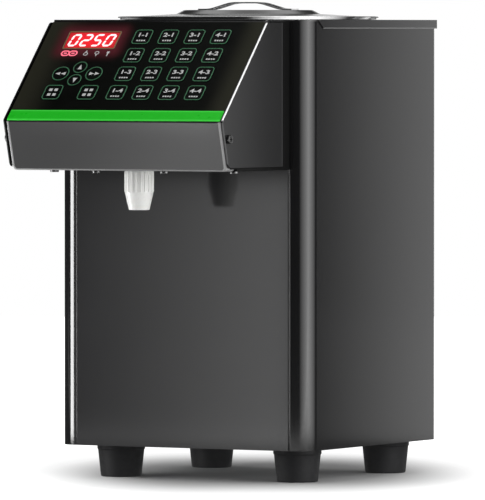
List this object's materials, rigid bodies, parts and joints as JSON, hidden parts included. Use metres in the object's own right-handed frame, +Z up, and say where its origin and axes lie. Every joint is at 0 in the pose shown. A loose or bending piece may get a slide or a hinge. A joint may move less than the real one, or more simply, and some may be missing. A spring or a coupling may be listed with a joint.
{
  "type": "fructose dispenser",
  "caption": "Counter-top fructose syrup dispenser with a keypad head, red digit display, ribbed nozzle, round steel lid and rubber feet.",
  "frame": {"origin": "on the floor under the middle of the whole machine, screw heads at the back included", "axes": "+Z up, front and nozzle towards -Y, +X to the right of someone who faces the keypad"},
  "size_m": [0.2622, 0.3746, 0.4345],
  "materials": {
    "case_paint": "dark grey satin powder coat",
    "inner_black": "black satin paint",
    "zinc_steel": "zinc plated sheet",
    "screw_steel": "black plated fasteners with bright drive edges",
    "foot_rubber": "matt black rubber",
    "gasket_rubber": "soft white silicone seal",
    "tank_steel": "fine brushed stainless steel",
    "lid_steel": "spun and polished stainless steel",
    "black_plastic": "moulded black plastic",
    "rocker_plastic": "glossy black rocker",
    "hose_silicone": "milky silicone hose",
    "pump_brass": "machined brass",
    "gear_steel": "ground steel",
    "motor_paint": "dark painted can",
    "supply_aluminium": "folded aluminium case",
    "foil_black": "satin printed keypad foil",
    "stripe_green": "bright green printed band",
    "display_red": "red display window",
    "board_green": "green circuit board",
    "nozzle_white": "translucent white moulding"
  },
  "bodies": {
    "root": {"body_shell": "case_paint", "front_panel": "case_paint", "top_cover": "case_paint", "head_cover": "case_paint", "head_side_plates": "case_paint", "head_frame": "inner_black", "head_bottom": "inner_black", "base_plate": "zinc_steel", "motor_bracket": "zinc_steel", "case_screws": "screw_steel", "head_screws": "screw_steel", "hose_clamps": "screw_steel", "rubber_feet": "foot_rubber", "tank_gasket": "gasket_rubber", "syrup_tank": "tank_steel", "tank_outlet": "black_plastic", "nozzle_body": "black_plastic", "power_inlet": "black_plastic", "switch_frame": "black_plastic", "suction_hose": "hose_silicone", "delivery_hose": "hose_silicone", "pump_housing": "pump_brass", "pump_cover": "pump_brass", "idler_pin": "gear_steel", "motor_can": "motor_paint", "power_supply": "supply_aluminium", "keypad_overlay": "foil_black", "green_stripe": "stripe_green", "display_module": "display_red", "control_board": "board_green", "board_pillars": "zinc_steel", "nozzle_cap": "nozzle_white"},
    "lid": {"lid_disc": "lid_steel", "lid_handle": "lid_steel"},
    "pump_drive": {"drive_gear": "gear_steel", "motor_shaft": "gear_steel"},
    "pump_driven": {"driven_gear": "gear_steel"},
    "rocker": {"switch_rocker": "rocker_plastic"},
    "press_key_1_1": {"key_1_1": "foil_black"},
    "press_key_2_1": {"key_2_1": "foil_black"},
    "press_key_3_1": {"key_3_1": "foil_black"},
    "press_key_4_1": {"key_4_1": "foil_black"},
    "press_key_1_2": {"key_1_2": "foil_black"},
    "press_key_2_2": {"key_2_2": "foil_black"},
    "press_key_3_2": {"key_3_2": "foil_black"},
    "press_key_4_2": {"key_4_2": "foil_black"},
    "press_key_1_3": {"key_1_3": "foil_black"},
    "press_key_2_3": {"key_2_3": "foil_black"},
    "press_key_3_3": {"key_3_3": "foil_black"},
    "press_key_4_3": {"key_4_3": "foil_black"},
    "press_key_1_4": {"key_1_4": "foil_black"},
    "press_key_2_4": {"key_2_4": "foil_black"},
    "press_key_3_4": {"key_3_4": "foil_black"},
    "press_key_4_4": {"key_4_4": "foil_black"},
    "press_key_lower_left": {"key_lower_left": "foil_black"},
    "press_key_lower_right": {"key_lower_right": "foil_black"},
    "press_key_left": {"key_left": "foil_black"},
    "press_key_right": {"key_right": "foil_black"},
    "press_key_up": {"key_up": "foil_black"},
    "press_key_down": {"key_down": "foil_black"}
  },
  "joints": [
    {"name": "lid_lift", "type": "slide", "parent": "root", "child": "lid", "axis": [0, 0, 1], "range_m": [0, 0.06]},
    {"name": "pump_drive_spin", "type": "hinge", "parent": "root", "child": "pump_drive", "pos_m": [0, 0.01665, 0.068], "axis": [0, 1, 0], "continuous": true},
    {"name": "pump_driven_spin", "type": "hinge", "parent": "root", "child": "pump_driven", "pos_m": [0, 0.01665, 0.0922], "axis": [0, 1, 0], "continuous": true},
    {"name": "rocker_tilt", "type": "hinge", "parent": "root", "child": "rocker", "pos_m": [0.06, 0.18035, 0.11], "axis": [-1, 0, 0], "range_deg": [0, 20]},
    {"name": "key_1_1_press", "type": "slide", "parent": "root", "child": "press_key_1_1", "axis": [0, 0.729, -0.6845], "range_m": [0, 0.0005], "stiffness_N_per_m": 1500},
    {"name": "key_2_1_press", "type": "slide", "parent": "root", "child": "press_key_2_1", "axis": [0, 0.729, -0.6845], "range_m": [0, 0.0005], "stiffness_N_per_m": 1500},
    {"name": "key_3_1_press", "type": "slide", "parent": "root", "child": "press_key_3_1", "axis": [0, 0.729, -0.6845], "range_m": [0, 0.0005], "stiffness_N_per_m": 1500},
    {"name": "key_4_1_press", "type": "slide", "parent": "root", "child": "press_key_4_1", "axis": [0, 0.729, -0.6845], "range_m": [0, 0.0005], "stiffness_N_per_m": 1500},
    {"name": "key_1_2_press", "type": "slide", "parent": "root", "child": "press_key_1_2", "axis": [0, 0.729, -0.6845], "range_m": [0, 0.0005], "stiffness_N_per_m": 1500},
    {"name": "key_2_2_press", "type": "slide", "parent": "root", "child": "press_key_2_2", "axis": [0, 0.729, -0.6845], "range_m": [0, 0.0005], "stiffness_N_per_m": 1500},
    {"name": "key_3_2_press", "type": "slide", "parent": "root", "child": "press_key_3_2", "axis": [0, 0.729, -0.6845], "range_m": [0, 0.0005], "stiffness_N_per_m": 1500},
    {"name": "key_4_2_press", "type": "slide", "parent": "root", "child": "press_key_4_2", "axis": [0, 0.729, -0.6845], "range_m": [0, 0.0005], "stiffness_N_per_m": 1500},
    {"name": "key_1_3_press", "type": "slide", "parent": "root", "child": "press_key_1_3", "axis": [0, 0.729, -0.6845], "range_m": [0, 0.0005], "stiffness_N_per_m": 1500},
    {"name": "key_2_3_press", "type": "slide", "parent": "root", "child": "press_key_2_3", "axis": [0, 0.729, -0.6845], "range_m": [0, 0.0005], "stiffness_N_per_m": 1500},
    {"name": "key_3_3_press", "type": "slide", "parent": "root", "child": "press_key_3_3", "axis": [0, 0.729, -0.6845], "range_m": [0, 0.0005], "stiffness_N_per_m": 1500},
    {"name": "key_4_3_press", "type": "slide", "parent": "root", "child": "press_key_4_3", "axis": [0, 0.729, -0.6845], "range_m": [0, 0.0005], "stiffness_N_per_m": 1500},
    {"name": "key_1_4_press", "type": "slide", "parent": "root", "child": "press_key_1_4", "axis": [0, 0.729, -0.6845], "range_m": [0, 0.0005], "stiffness_N_per_m": 1500},
    {"name": "key_2_4_press", "type": "slide", "parent": "root", "child": "press_key_2_4", "axis": [0, 0.729, -0.6845], "range_m": [0, 0.0005], "stiffness_N_per_m": 1500},
    {"name": "key_3_4_press", "type": "slide", "parent": "root", "child": "press_key_3_4", "axis": [0, 0.729, -0.6845], "range_m": [0, 0.0005], "stiffness_N_per_m": 1500},
    {"name": "key_4_4_press", "type": "slide", "parent": "root", "child": "press_key_4_4", "axis": [0, 0.729, -0.6845], "range_m": [0, 0.0005], "stiffness_N_per_m": 1500},
    {"name": "key_lower_left_press", "type": "slide", "parent": "root", "child": "press_key_lower_left", "axis": [0, 0.729, -0.6845], "range_m": [0, 0.0005], "stiffness_N_per_m": 1500},
    {"name": "key_lower_right_press", "type": "slide", "parent": "root", "child": "press_key_lower_right", "axis": [0, 0.729, -0.6845], "range_m": [0, 0.0005], "stiffness_N_per_m": 1500},
    {"name": "key_left_press", "type": "slide", "parent": "root", "child": "press_key_left", "axis": [0, 0.729, -0.6845], "range_m": [0, 0.0005], "stiffness_N_per_m": 1500},
    {"name": "key_right_press", "type": "slide", "parent": "root", "child": "press_key_right", "axis": [0, 0.729, -0.6845], "range_m": [0, 0.0005], "stiffness_N_per_m": 1500},
    {"name": "key_up_press", "type": "slide", "parent": "root", "child": "press_key_up", "axis": [0, 0.729, -0.6845], "range_m": [0, 0.0005], "stiffness_N_per_m": 1500},
    {"name": "key_down_press", "type": "slide", "parent": "root", "child": "press_key_down", "axis": [0, 0.729, -0.6845], "range_m": [0, 0.0005], "stiffness_N_per_m": 1500}
  ],
  "couplings": [
    {"joint": "pump_driven_spin", "follows": "pump_drive_spin", "ratio": -1}
  ]
}
